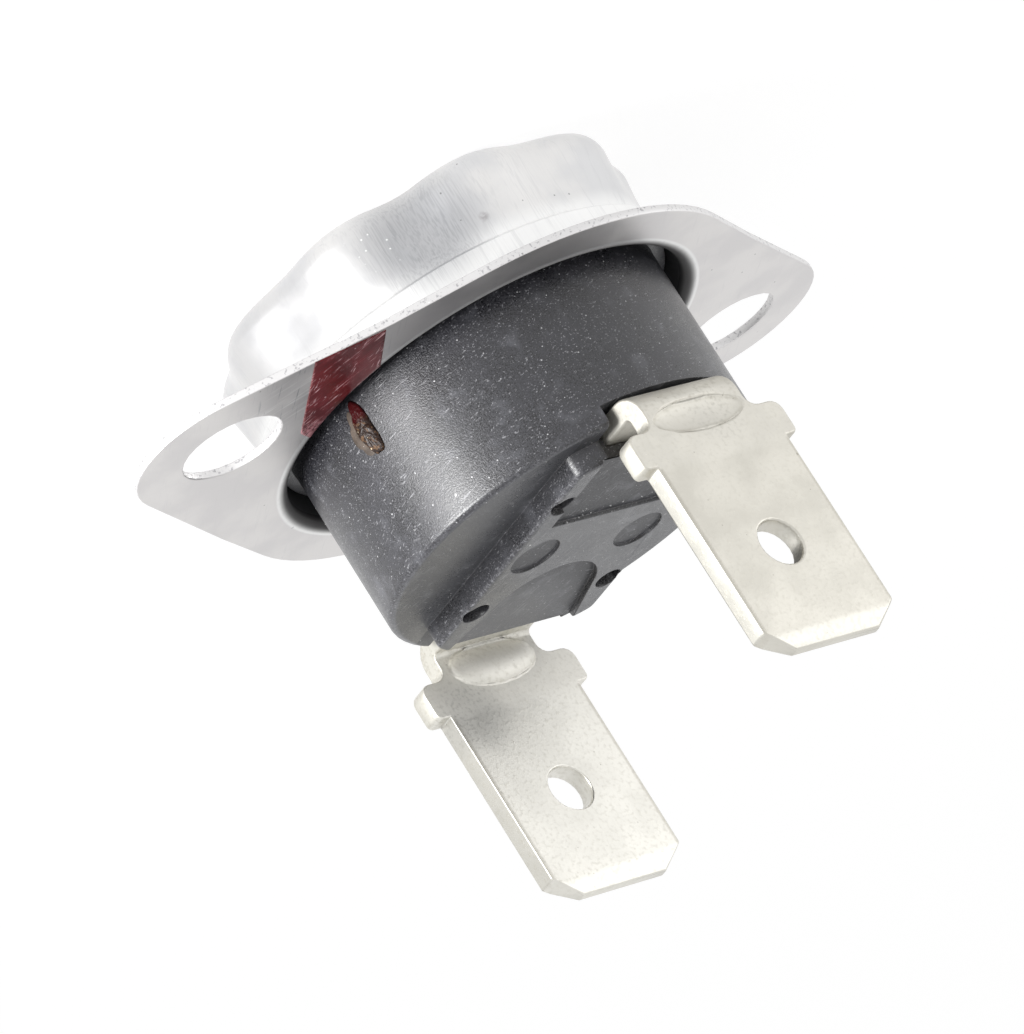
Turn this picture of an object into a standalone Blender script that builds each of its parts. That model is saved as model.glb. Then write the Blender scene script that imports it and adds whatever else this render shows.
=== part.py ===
"""Thermal fuse: a flanged aluminium cap, a moulded case, two blade terminals and a snap disc switch inside.

The fuse stands on the flat face of its cap, with its axis on Z and that face at z = 0.
+X points at one mounting ear, the fixed contact's blade is on the -Y side and the arm's blade on the +Y side.
Every size is in metres.
"""
import math

import bmesh
import bpy
from mathutils import Matrix, Vector

# Mounting cap, drawn from one sheet
SHEET = 0.00032
CAP_HEIGHT = 0.00533
SHOULDER_SWELL = 0.00039
SHOULDER_ROUND = 0.00088
FOOT_SWELL = 0.00037
FOOT_HEIGHT = 0.0019
STEP_HEIGHT = 0.00018
FLANGE_ROOT_ROUND = 0.00006

# Dents pressed into the cap's shoulder
DENT_COUNT = 9
DENT_DEPTH = 0.00052
DEEP_DENT_DEPTH = 0.0011
DEEP_DENT_ANGLE = math.radians(-52)
DENT_SPREAD = math.radians(11.8)
DENT_HEIGHT = 0.0022
DENT_LEVEL = 0.00052
DENT_FADE_POWER = 6
DENT_INNER_SHARE = 0.8

# Flange and its two ears, which droop a little towards the cap's face
FLANGE_RADIUS = 0.0101
EAR_REACH = 0.0156
EAR_ROUND = 0.00345
EAR_DROOP = math.radians(2.5)
EAR_BEND_MARGIN = 0.0002
SLOT_SPACING = 0.0238
SLOT_WIDTH = 0.00358
SLOT_LENGTH = 0.00384

# Moulded case, whose outer radius follows from the cap's mouth
CASE_STAND = 0.0059
CASE_EDGE_ROUND = 0.00025
CASE_ROOF = 0.00155
CHAMBER_RADIUS = 0.00589
COLLAR_HEIGHT = 0.0004
BAR_WIDTH = 0.0075
BAR_RISE = 0.00085
BAR_INSET = 0.00091
BAR_CORNER_ROUND = 0.0005
BAR_EDGE_ROUND = 0.00015
NOTCH_WIDTH = 0.0054
CHANNEL_WIDTH = 0.0048
PIN_HOLE_RADIUS = 0.00052
PIN_HOLE_DEPTH = 0.001
PIN_HOLE_X = 0.00319
PIN_HOLE_Y = 0.00327
EJECTOR_RADIUS = 0.00098
EJECTOR_DEPTH = 0.0001
EJECTOR_X = 0.00246
DISH_RADIUS = 0.00245
DISH_CENTRE = 0.0037
DISH_DEPTH = 0.00022
DISH_MOUTH_ANGLE = math.radians(20)
LANDING_WIDTH = 0.0058
LANDING_START = 0.0019
LANDING_DEPTH = 0.00016

# Blade terminals, one strip each
BLADE_THICKNESS = 0.0008
BLADE_SPREAD = 0.0152
BLADE_WIDTH = 0.0062
BLADE_LENGTH = 0.00784
TIP_CUT = 0.00082
TIP_WIDTH = 0.004
TIP_BEVEL_LENGTH = 0.00065
TIP_BEVEL_DEPTH = 0.0002
BLADE_HOLE_RADIUS = 0.0009
BLADE_HOLE_FROM_TIP = 0.00398
WING_WIDTH = 0.0073
WING_HEIGHT = 0.00143
WING_ROUND = 0.00022
WING_SHOULDER_ROUND = 0.00045
NECK_WIDTH = 0.0046
NECK_ROUND = 0.00045
NECK_HEIGHT = 0.00115
LEG_SINK = 0.00063
BEND_INSIDE = 0.0002
BEAD_WIDTH = 0.0041
BEAD_HEIGHT = 0.0018
BEAD_RISE = 0.0003
BEAD_DROP = 0.0002
HOLLOW_WIDTH = 0.0044
HOLLOW_HEIGHT = 0.0013
HOLLOW_DEPTH = 0.00018
ARM_LEG_END = 0.0029
FIXED_LEG_END = 0.0019
CRANK_PLACE = 0.0046

# Contact arm, its rivet and the two contacts
ARM_THICKNESS = 0.00015
ARM_WIDTH = 0.0036
ARM_TIP_WIDTH = 0.002
ARM_ROOT = 0.0009
RIVET_PLACE = 0.004
RIVET_RADIUS = 0.0005
RIVET_HEAD_RADIUS = 0.001
RIVET_HEAD_HEIGHT = 0.0003
RIVET_FLARE = 0.00025
CONTACT_PLACE = 0.003
CONTACT_RADIUS = 0.0009
CONTACT_HEIGHT = 0.00048
CONTACT_CHAMFER = 0.0001
SHANK_RADIUS = 0.0005
SHANK_HEAD_RADIUS = 0.00075
SHANK_HEAD_HEIGHT = 0.00015

# Snap disc, guide plate and transfer pin
DISC_RADIUS = 0.006
DISC_THICKNESS = 0.0002
DISC_DISH = 0.00035
GUIDE_LEDGE = 0.0005
GUIDE_TOP = 0.0022
GUIDE_WEB = 0.0008
GUIDE_RIM = 0.0009
GUIDE_SKIRT_WALL = 0.00022
BOSS_RADIUS = 0.002
BOSS_HEIGHT = 0.0044
PIN_RADIUS = 0.001
PIN_DOME = 0.0014
PIN_CHAMFER = 0.0002

# Clearances
SEAT = 0.00002
SLOT_PLAY = 0.00004
BORE_PLAY = 0.00005
FLEX_GAP = 0.00012
DISC_PLAY = 0.00008
GUIDE_GAP = 0.0003
SPIGOT_GAP = 0.00051
COLLAR_PLAY = 0.00015
MOUTH_GAP = 0.00061
NOTCH_GAP = 0.0015
CHANNEL_GAP = 0.0001
BAR_SINK = 0.0005

# Facets
CAP_SEGMENTS = 12 * DENT_COUNT
CASE_SEGMENTS = 72
DISC_SEGMENTS = 40
PIN_SEGMENTS = 32
SMALL_SEGMENTS = 24
BEAD_SEGMENTS = 20
BEND_STEPS = 6
ROOT_STEPS = 3
WALL_ROWS = 5
SHOULDER_STEPS = 6
EAR_STEPS = 14
SIDE_STEPS = 16
SLOT_STEPS = 12
CORNER_STEPS = 4
BAR_CORNER_STEPS = 3
BAR_EDGE_STEPS = 2
BAR_END_STEPS = 16
DISH_STEPS = 16
DOME_STEPS = 5
DISC_ROWS = 4
CORNER_LIMIT = 0.49
FLAT_ANGLE = math.radians(1)
MERGE = 1e-7
CUT_MARGIN = 0.001

# Radii that follow from the disc outwards
GUIDE_SKIRT_INSIDE = DISC_RADIUS + DISC_PLAY
GUIDE_SKIRT_RADIUS = GUIDE_SKIRT_INSIDE + GUIDE_SKIRT_WALL
GUIDE_RADIUS = GUIDE_SKIRT_RADIUS + GUIDE_LEDGE
SPIGOT_RADIUS = GUIDE_RADIUS + GUIDE_GAP
WAIST_RADIUS = SPIGOT_RADIUS + SPIGOT_GAP + SHEET
SHOULDER_RADIUS = WAIST_RADIUS + SHOULDER_SWELL
FOOT_RADIUS = WAIST_RADIUS + FOOT_SWELL
MOUTH_RADIUS = FOOT_RADIUS - SHEET
CASE_RADIUS = MOUTH_RADIUS - MOUTH_GAP
BAR_END_RADIUS = CASE_RADIUS - BAR_INSET
EAR_BEND = FOOT_RADIUS + FLANGE_ROOT_ROUND + EAR_BEND_MARGIN

# Levels and places that follow from the sizes above
FLOOR = SHEET
UNDERSIDE = CAP_HEIGHT - SHEET
RIM_LEVEL = CAP_HEIGHT + CASE_STAND
BAR_LEVEL = RIM_LEVEL + BAR_RISE
LEG_BOTTOM = RIM_LEVEL - LEG_SINK
LEG_TOP = LEG_BOTTOM + BLADE_THICKNESS
LEG_MIDDLE = LEG_BOTTOM + BLADE_THICKNESS / 2
WING_BOTTOM = RIM_LEVEL + NECK_HEIGHT
WING_TOP = WING_BOTTOM + WING_HEIGHT
TIP_LEVEL = WING_TOP + BLADE_LENGTH
BEAD_LEVEL = WING_BOTTOM - BEAD_DROP
BLADE_PLANE = BLADE_SPREAD / 2
NOTCH_WALL = BLADE_PLANE - BLADE_THICKNESS / 2 - NOTCH_GAP
CHANNEL_END = CRANK_PLACE + BLADE_THICKNESS / 2 + CHANNEL_GAP
STEP_LEVEL = CAP_HEIGHT - FOOT_HEIGHT
STEP_LEAN = math.atan2(STEP_HEIGHT, FOOT_RADIUS - WAIST_RADIUS)
INNER_STEP = STEP_LEVEL + STEP_HEIGHT + SHEET * math.tan((math.pi / 2 - STEP_LEAN) / 2)
CEILING = RIM_LEVEL - CASE_ROOF
ARM_TOP = LEG_BOTTOM - FLEX_GAP
ARM_BOTTOM = ARM_TOP - ARM_THICKNESS
MOVING_FACE = ARM_BOTTOM - SEAT - CONTACT_HEIGHT
FIXED_FACE = MOVING_FACE - SEAT
LOW_LEG_TOP = FIXED_FACE - CONTACT_HEIGHT - SEAT
LOW_LEG_MIDDLE = LOW_LEG_TOP - BLADE_THICKNESS / 2
DISC_BOTTOM = FLOOR + SEAT
DISC_TOP = DISC_BOTTOM + DISC_THICKNESS
PIN_BOTTOM = DISC_TOP + SEAT
PIN_TOP = ARM_BOTTOM - SEAT


def clear_scene():
    for obj in list(bpy.data.objects):
        bpy.data.objects.remove(obj, do_unlink=True)


def new_collection(name):
    collection = bpy.data.collections.new(name)
    bpy.context.scene.collection.children.link(collection)
    return collection


clear_scene()
PARTS = new_collection("thermal_fuse")
CUTTERS = new_collection("cutters")


def material(name, colour, roughness, metallic):
    """A plain Principled material; colour is linear RGB."""
    made = bpy.data.materials.new(name)
    made.use_nodes = True
    shader = made.node_tree.nodes["Principled BSDF"]
    shader.inputs["Base Color"].default_value = (*colour, 1)
    shader.inputs["Roughness"].default_value = roughness
    shader.inputs["Metallic"].default_value = metallic
    return made


def add_object(name, mesh, collection):
    obj = bpy.data.objects.new(name, mesh)
    collection.objects.link(obj)
    return obj


def as_cutter(obj):
    """Keeps a tool shape out of the part."""
    for collection in list(obj.users_collection):
        collection.objects.unlink(obj)
    CUTTERS.objects.link(obj)
    obj.hide_render = True
    obj.display_type = "WIRE"
    return obj


def finish(obj, surface, sharp_degrees=35):
    """Gives a piece its material and smooth shading with crisp edges."""
    obj.data.materials.clear()
    obj.data.materials.append(surface)
    obj.data.shade_smooth()
    obj.data.set_sharp_from_angle(angle=math.radians(sharp_degrees))
    return obj


def frozen(obj):
    """Replaces an object's mesh by its evaluated one, with its modifiers applied."""
    depsgraph = bpy.context.evaluated_depsgraph_get()
    mesh = bpy.data.meshes.new_from_object(obj.evaluated_get(depsgraph))
    obj.modifiers.clear()
    obj.data = mesh
    return obj


def boolean(obj, tool, operation="DIFFERENCE"):
    modifier = obj.modifiers.new(tool.name, "BOOLEAN")
    modifier.operation = operation
    modifier.solver = "EXACT"
    modifier.object = tool
    return modifier


def arc(centre, radius, start, end, steps):
    """Points of an arc from start to end, both ends included."""
    angles = [start + (end - start) * i / steps for i in range(steps + 1)]
    return [(centre[0] + radius * math.cos(a), centre[1] + radius * math.sin(a)) for a in angles]


def rounded(corners, radii, steps=CORNER_STEPS):
    """A closed outline with each corner rounded; a radius of 0 leaves a corner sharp."""
    outline = []
    count = len(corners)
    for i, corner in enumerate(corners):
        here = Vector(corner)
        before = Vector(corners[i - 1]) - here
        after = Vector(corners[(i + 1) % count]) - here
        if radii[i] <= 0:
            outline.append(tuple(here))
            continue
        half = before.angle(after) / 2
        limit = CORNER_LIMIT * min(before.length, after.length) * math.tan(half)
        radius = min(radii[i], limit)
        centre = here + (before.normalized() + after.normalized()).normalized() * radius / math.sin(half)
        first = here + before.normalized() * radius / math.tan(half) - centre
        last = here + after.normalized() * radius / math.tan(half) - centre
        turn = first.angle_signed(last)
        for step in range(steps + 1):
            outline.append(tuple(centre + Matrix.Rotation(-turn * step / steps, 2) @ first))
    return outline


def turned(name, profile, segments, closed=False, collection=None):
    """A solid turned about Z. The profile of (radius, z) runs down its outer side, top to bottom."""
    mesh = bpy.data.meshes.new(name)
    count = len(profile)
    edges = [(i, i + 1) for i in range(count - 1)]
    if closed:
        edges.append((count - 1, 0))
    mesh.from_pydata([(radius, 0, z) for radius, z in profile], edges, [])
    obj = add_object(name, mesh, collection or PARTS)
    screw = obj.modifiers.new("Turn", "SCREW")
    screw.axis = "Z"
    screw.steps = segments
    screw.render_steps = segments
    screw.use_merge_vertices = True
    screw.merge_threshold = MERGE
    return frozen(obj)


def extruded(name, outlines, depth, axes=None, collection=None):
    """A flat sheet of one outline with any further outlines as holes, centred on its own plane.

    axes turns the outline's plane into the piece's: UPRIGHT_X is a side view, UPRIGHT_Y a front view.
    """
    curve = bpy.data.curves.new(name, "CURVE")
    curve.dimensions = "2D"
    curve.fill_mode = "BOTH"
    curve.extrude = depth / 2
    for outline in outlines:
        spline = curve.splines.new("POLY")
        spline.points.add(len(outline) - 1)
        for point, (u, v) in zip(spline.points, outline):
            point.co = (u, v, 0, 1)
        spline.use_cyclic_u = True
    sketch = add_object(name + "_sketch", curve, PARTS)
    depsgraph = bpy.context.evaluated_depsgraph_get()
    mesh = bpy.data.meshes.new_from_object(sketch.evaluated_get(depsgraph))
    bpy.data.objects.remove(sketch, do_unlink=True)
    if axes is not None:
        mesh.transform(axes)
    shape = bmesh.new()
    shape.from_mesh(mesh)
    bmesh.ops.remove_doubles(shape, verts=shape.verts, dist=MERGE)
    shape.to_mesh(mesh)
    shape.free()
    return add_object(name, mesh, collection or PARTS)


# The side view's axes become Y and Z, and the front view's X and Z
UPRIGHT_X = Matrix(((0, 0, 1, 0), (1, 0, 0, 0), (0, 1, 0, 0), (0, 0, 0, 1)))
UPRIGHT_Y = Matrix(((1, 0, 0, 0), (0, 0, -1, 0), (0, 1, 0, 0), (0, 0, 0, 1)))


def block(name, low, high):
    """A box cutter between two corners."""
    low, high = Vector(low), Vector(high)
    shape = bmesh.new()
    size = high - low
    place = Matrix.Translation((low + high) / 2) @ Matrix.Diagonal((*size, 1))
    bmesh.ops.create_cube(shape, size=1, matrix=place)
    mesh = bpy.data.meshes.new(name)
    shape.to_mesh(mesh)
    shape.free()
    return as_cutter(add_object(name, mesh, CUTTERS))


def post(name, x, y, radius, low, high, segments=SMALL_SEGMENTS):
    """An upright round cutter."""
    shape = bmesh.new()
    place = Matrix.Translation((x, y, (low + high) / 2))
    bmesh.ops.create_cone(
        shape, cap_ends=True, segments=segments, radius1=radius, radius2=radius, depth=high - low, matrix=place
    )
    mesh = bpy.data.meshes.new(name)
    shape.to_mesh(mesh)
    shape.free()
    return as_cutter(add_object(name, mesh, CUTTERS))


# Mounting cap


def cap_profile():
    """The cup's outside from the flange's underside down to the centre of its flat face."""
    root = FLANGE_ROOT_ROUND
    profile = arc((FOOT_RADIUS + root, UNDERSIDE - root), root, math.pi / 2, math.pi, ROOT_STEPS)
    profile.append((FOOT_RADIUS, STEP_LEVEL + STEP_HEIGHT))
    profile.append((WAIST_RADIUS, STEP_LEVEL))
    centre = (SHOULDER_RADIUS - SHOULDER_ROUND, SHOULDER_ROUND)
    for row in range(1, WALL_ROWS):
        share = row / WALL_ROWS
        radius = WAIST_RADIUS + (SHOULDER_RADIUS - WAIST_RADIUS) * share
        profile.append((radius, STEP_LEVEL + (SHOULDER_ROUND - STEP_LEVEL) * share))
    profile += arc(centre, SHOULDER_ROUND, 0, -math.pi / 2, SHOULDER_STEPS)
    profile.append((centre[0] * DENT_INNER_SHARE, 0))
    profile.append((0, 0))
    return profile


def dent_at(radius, angle, level):
    """How far the pressed dents push the cup's skin inwards at one place."""
    pitch = 2 * math.pi / DENT_COUNT
    number = round((angle - DEEP_DENT_ANGLE) / pitch)
    off_centre = angle - DEEP_DENT_ANGLE - number * pitch
    deep = number % DENT_COUNT == 0
    depth = DEEP_DENT_DEPTH if deep else DENT_DEPTH
    across = math.exp(-((off_centre / DENT_SPREAD) ** 2))
    along = math.exp(-(((level - DENT_LEVEL) / DENT_HEIGHT) ** 2))
    near_rim = min(1, radius / WAIST_RADIUS) ** DENT_FADE_POWER
    fade = min(1, max(0, (STEP_LEVEL - level) / STEP_HEIGHT))
    return depth * across * along * near_rim * fade


def flange_outline():
    """Two broad side arcs and two ear tips, joined by their common tangents."""
    spread = EAR_REACH - EAR_ROUND
    lean = math.acos((FLANGE_RADIUS - EAR_ROUND) / spread)
    outline = arc((spread, 0), EAR_ROUND, -lean, lean, EAR_STEPS)
    outline += arc((0, 0), FLANGE_RADIUS, lean, math.pi - lean, SIDE_STEPS)
    outline += arc((-spread, 0), EAR_ROUND, math.pi - lean, math.pi + lean, EAR_STEPS)
    outline += arc((0, 0), FLANGE_RADIUS, math.pi + lean, 2 * math.pi - lean, SIDE_STEPS)
    return outline


def slot_outline(x):
    radius = SLOT_WIDTH / 2
    stretch = (SLOT_LENGTH - SLOT_WIDTH) / 2
    outline = arc((x + stretch, 0), radius, -math.pi / 2, math.pi / 2, SLOT_STEPS)
    outline += arc((x - stretch, 0), radius, math.pi / 2, 3 * math.pi / 2, SLOT_STEPS)
    return outline


def droop_ears(shape):
    """Bends both ears of the flat flange towards the cap's face, each along a line beside the cup."""
    for side in (-1, 1):
        bend = Vector((side * EAR_BEND, 0, UNDERSIDE))
        flange = [face for face in shape.faces if face.calc_center_median().z > UNDERSIDE - MERGE]
        edges = {edge for face in flange for edge in face.edges}
        vertices = {vertex for face in flange for vertex in face.verts}
        geometry = [*vertices, *edges, *flange]
        bmesh.ops.bisect_plane(shape, geom=geometry, dist=MERGE, plane_co=bend, plane_no=(side, 0, 0))
        level = [vertex for vertex in shape.verts if vertex.co.z > UNDERSIDE - MERGE]
        ear = [vertex for vertex in level if vertex.co.x * side > EAR_BEND + MERGE]
        bmesh.ops.rotate(shape, verts=ear, cent=bend, matrix=Matrix.Rotation(side * EAR_DROOP, 3, "Y"))


def make_mounting_cap(surface):
    """The cup's skin is turned and dented, the flange is filled round its rim, and the sheet gets its wall."""
    cap = turned("mounting_cap", cap_profile(), CAP_SEGMENTS)
    shape = bmesh.new()
    shape.from_mesh(cap.data)
    for vertex in shape.verts:
        radius = math.hypot(vertex.co.x, vertex.co.y)
        if radius < MERGE:
            continue
        angle = math.atan2(vertex.co.y, vertex.co.x)
        scale = 1 - dent_at(radius, angle, vertex.co.z) / radius
        vertex.co.x *= scale
        vertex.co.y *= scale
    rim_edges = [edge for edge in shape.edges if edge.is_boundary]
    for outline in (flange_outline(), slot_outline(SLOT_SPACING / 2), slot_outline(-SLOT_SPACING / 2)):
        ring = [shape.verts.new((x, y, UNDERSIDE)) for x, y in outline]
        rim_edges += [shape.edges.new((ring[i - 1], ring[i])) for i in range(len(ring))]
    bmesh.ops.triangle_fill(shape, edges=rim_edges, use_beauty=True, normal=(0, 0, -1))
    bmesh.ops.recalc_face_normals(shape, faces=shape.faces)
    flat_face = min(shape.faces, key=lambda face: face.calc_center_median().z)
    if flat_face.normal.z > 0:
        bmesh.ops.reverse_faces(shape, faces=shape.faces)
    droop_ears(shape)
    shape.to_mesh(cap.data)
    shape.free()
    wall = cap.modifiers.new("Sheet", "SOLIDIFY")
    wall.thickness = SHEET
    wall.offset = -1
    wall.use_even_offset = True
    wall.use_rim = True
    return finish(cap, surface, sharp_degrees=40)


# Moulded case


def case_profile():
    """The case's outside down to its lower end, then up the chamber to the ceiling's centre."""
    edge = CASE_EDGE_ROUND
    collar_bottom = INNER_STEP + SEAT
    collar_top = collar_bottom + COLLAR_HEIGHT
    collar_radius = MOUTH_RADIUS - COLLAR_PLAY
    bottom = GUIDE_TOP + SEAT
    profile = [(0, RIM_LEVEL)]
    profile += arc((CASE_RADIUS - edge, RIM_LEVEL - edge), edge, math.pi / 2, 0, CORNER_STEPS)
    profile += [(CASE_RADIUS, collar_top), (collar_radius, collar_top), (collar_radius, collar_bottom)]
    profile += [(SPIGOT_RADIUS, collar_bottom), (SPIGOT_RADIUS, bottom), (CHAMBER_RADIUS, bottom)]
    profile += [(CHAMBER_RADIUS, CEILING), (0, CEILING)]
    return profile


def bar_outline():
    """The raised bar over the terminals: straight sides and round ends."""
    half = BAR_WIDTH / 2
    lean = math.acos(half / BAR_END_RADIUS)
    near_end = arc((0, 0), BAR_END_RADIUS, -math.pi + lean, -lean, BAR_END_STEPS)
    far_end = arc((0, 0), BAR_END_RADIUS, lean, math.pi - lean, BAR_END_STEPS)
    end_radii = [BAR_CORNER_ROUND] + [0] * (BAR_END_STEPS - 1) + [BAR_CORNER_ROUND]
    return rounded(near_end + far_end, end_radii * 2, BAR_CORNER_STEPS)


def make_bar():
    """The raised bar's solid, sunk into the case's end and rounded along its upper edge."""
    height = BAR_RISE + BAR_SINK
    bar = extruded("bar", [bar_outline()], height, collection=CUTTERS)
    bar.data.transform(Matrix.Translation((0, 0, BAR_LEVEL - height / 2)))
    shape = bmesh.new()
    shape.from_mesh(bar.data)
    bmesh.ops.dissolve_limit(shape, angle_limit=FLAT_ANGLE, verts=shape.verts, edges=shape.edges)
    top = [edge for edge in shape.edges if all(vertex.co.z > BAR_LEVEL - MERGE for vertex in edge.verts)]
    bmesh.ops.bevel(
        shape, geom=top, offset=BAR_EDGE_ROUND, segments=BAR_EDGE_STEPS, profile=0.5, affect="EDGES"
    )
    shape.to_mesh(bar.data)
    shape.free()
    return as_cutter(bar)


def make_dish():
    """The shallow dish in the bar's end at the arm's terminal, which flares towards the bar's corners."""
    top = BAR_LEVEL + CUT_MARGIN
    floor = BAR_LEVEL - DISH_DEPTH
    start = DISH_MOUTH_ANGLE
    outline = arc((0, DISH_CENTRE), DISH_RADIUS, -start, -math.pi + start, DISH_STEPS)
    flare = BAR_WIDTH / 2 - PIN_HOLE_RADIUS
    outline += [(-flare, BAR_END_RADIUS), (flare, BAR_END_RADIUS)]
    dish = extruded("dish", [outline], top - floor, collection=CUTTERS)
    dish.data.transform(Matrix.Translation((0, 0, (top + floor) / 2)))
    return as_cutter(dish)


def make_landing():
    """The shallow straight step in the bar's other end, at the fixed contact's terminal."""
    half = LANDING_WIDTH / 2
    low = (-half, -CASE_RADIUS - CUT_MARGIN, BAR_LEVEL - LANDING_DEPTH)
    return block("landing", low, (half, -LANDING_START, BAR_LEVEL + CUT_MARGIN))


def make_switch_case(surface):
    """The phenolic case: a cup that opens downwards, with the terminals' slots in its thick end."""
    case = turned("switch_case", case_profile(), CASE_SEGMENTS)
    boolean(case, make_bar(), "UNION")
    half = CHANNEL_WIDTH / 2
    channel_top = LEG_TOP + SLOT_PLAY
    channel_bottom = CEILING - CUT_MARGIN / 2
    boolean(case, block("channel", (-half, -CHANNEL_END, channel_bottom), (half, CHANNEL_END, channel_top)))
    outside = CASE_RADIUS + CUT_MARGIN
    leg_half = NECK_WIDTH / 2 + SLOT_PLAY
    slot_low = (-leg_half, -outside, LEG_BOTTOM - SLOT_PLAY)
    slot_high = (leg_half, outside, channel_top)
    boolean(case, block("leg_slot", slot_low, slot_high))
    for side in (-1, 1):
        near, far = sorted((side * NOTCH_WALL, side * outside))
        notch_low = (-NOTCH_WIDTH / 2, near, LEG_BOTTOM - SLOT_PLAY - FLEX_GAP)
        notch_high = (NOTCH_WIDTH / 2, far, BAR_LEVEL + CUT_MARGIN)
        boolean(case, block("notch", notch_low, notch_high))
    boolean(case, make_dish())
    boolean(case, make_landing())
    for x in (-PIN_HOLE_X, PIN_HOLE_X):
        for y in (-PIN_HOLE_Y, PIN_HOLE_Y):
            hole = post("pin_hole", x, y, PIN_HOLE_RADIUS, BAR_LEVEL - PIN_HOLE_DEPTH, BAR_LEVEL + CUT_MARGIN)
            boolean(case, hole)
    for x in (-EJECTOR_X, EJECTOR_X):
        boolean(case, post("ejector_mark", x, 0, EJECTOR_RADIUS, BAR_LEVEL - EJECTOR_DEPTH, BAR_LEVEL + CUT_MARGIN))
    return finish(case, surface)


# Terminals


def bent_strip(corners, tip_bevel):
    """The side view of a strip that follows a path of straight runs, with each corner bent round.

    The last run ends in a tip whose two faces are bevelled.
    """
    radius = BEND_INSIDE + BLADE_THICKNESS / 2
    stations = [(Vector(corners[0]), Vector(corners[1]) - Vector(corners[0]))]
    for i in range(1, len(corners) - 1):
        here = Vector(corners[i])
        arriving = (here - Vector(corners[i - 1])).normalized()
        leaving = (Vector(corners[i + 1]) - here).normalized()
        turn = arriving.angle_signed(leaving)
        reach = radius * math.tan(abs(turn) / 2)
        side = Vector((-arriving.y, arriving.x)) * (-1 if turn > 0 else 1)
        centre = here - arriving * reach + side * radius
        for step in range(BEND_STEPS + 1):
            swing = Matrix.Rotation(-turn * step / BEND_STEPS, 2)
            stations.append((centre - swing @ side * radius, swing @ arriving))
    end = Vector(corners[-1])
    forward = (end - Vector(corners[-2])).normalized()
    stations.append((end - forward * tip_bevel[0], forward))
    left, right = [], []
    for place, heading in stations:
        normal = Vector((-heading.y, heading.x)).normalized() * BLADE_THICKNESS / 2
        left.append(place + normal)
        right.append(place - normal)
    across = Vector((-forward.y, forward.x)) * (BLADE_THICKNESS / 2 - tip_bevel[1])
    left.append(end + across)
    right.append(end - across)
    return [tuple(point) for point in left + right[::-1]]


def blade_front(bottom):
    """The front view of a terminal: neck, wings, blade and the cut corners of its tip."""
    neck, wing, blade, tip = NECK_WIDTH / 2, WING_WIDTH / 2, BLADE_WIDTH / 2, TIP_WIDTH / 2
    side = [
        (neck, bottom, 0),
        (neck, WING_BOTTOM, NECK_ROUND),
        (wing, WING_BOTTOM, WING_SHOULDER_ROUND),
        (wing, WING_TOP, WING_ROUND),
        (blade, WING_TOP, 0),
        (blade, TIP_LEVEL - TIP_CUT, 0),
        (tip, TIP_LEVEL, 0),
        (tip, TIP_LEVEL + CUT_MARGIN, 0),
    ]
    other_side = [(-x, z, radius) for x, z, radius in reversed(side)]
    corners = side + other_side
    return rounded([(x, z) for x, z, radius in corners], [radius for x, z, radius in corners])


def make_oval(name, face_y, width, height, depth):
    """A flat oval swelling at a neck's level, centred on one of the strip's faces."""
    shape = bmesh.new()
    place = Matrix.Translation((0, face_y, BEAD_LEVEL))
    size = Matrix.Diagonal((width / 2, depth, height / 2, 1))
    bmesh.ops.create_uvsphere(
        shape, u_segments=BEAD_SEGMENTS, v_segments=BEAD_SEGMENTS // 2, radius=1, matrix=place @ size
    )
    mesh = bpy.data.meshes.new(name)
    shape.to_mesh(mesh)
    shape.free()
    return as_cutter(add_object(name, mesh, CUTTERS))


def make_terminal(name, surface, leg_corners, turn):
    """A blade terminal: the side view of the bent strip, kept where the front view leaves metal.

    A bead stands out of the neck's inner face to stiffen it, with the punch's hollow behind it.
    """
    corners = leg_corners + [(BLADE_PLANE, LEG_MIDDLE), (BLADE_PLANE, TIP_LEVEL)]
    side_view = bent_strip(corners, (TIP_BEVEL_LENGTH, TIP_BEVEL_DEPTH))
    terminal = extruded(name, [side_view], WING_WIDTH + CUT_MARGIN, UPRIGHT_X)
    bottom = min(z for y, z in side_view) - CUT_MARGIN
    hole = arc((0, TIP_LEVEL - BLADE_HOLE_FROM_TIP), BLADE_HOLE_RADIUS, 0, 2 * math.pi, SMALL_SEGMENTS)[:-1]
    depth = 2 * (BLADE_PLANE + CUT_MARGIN)
    front = extruded(name + "_front", [blade_front(bottom), hole], depth, UPRIGHT_Y, CUTTERS)
    boolean(terminal, as_cutter(front), "INTERSECT")
    inner_face, outer_face = BLADE_PLANE - BLADE_THICKNESS / 2, BLADE_PLANE + BLADE_THICKNESS / 2
    bead = make_oval(name + "_bead", inner_face, BEAD_WIDTH, BEAD_HEIGHT, BEAD_RISE)
    hollow = make_oval(name + "_hollow", outer_face, HOLLOW_WIDTH, HOLLOW_HEIGHT, HOLLOW_DEPTH)
    boolean(terminal, bead, "UNION")
    boolean(terminal, hollow)
    for piece in (terminal, bead, hollow):
        piece.rotation_euler.z = turn
    return finish(terminal, surface, sharp_degrees=30)


def make_arm_terminal(surface):
    """The terminal on the +Y side, whose leg carries the contact arm."""
    terminal = make_terminal("arm_terminal", surface, [(ARM_LEG_END, LEG_MIDDLE)], 0)
    seat = turned("rivet_seat", rivet_body(BORE_PLAY, CUT_MARGIN), SMALL_SEGMENTS, collection=CUTTERS)
    seat.data.transform(Matrix.Translation((0, RIVET_PLACE, 0)))
    boolean(terminal, as_cutter(seat))
    return terminal


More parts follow.
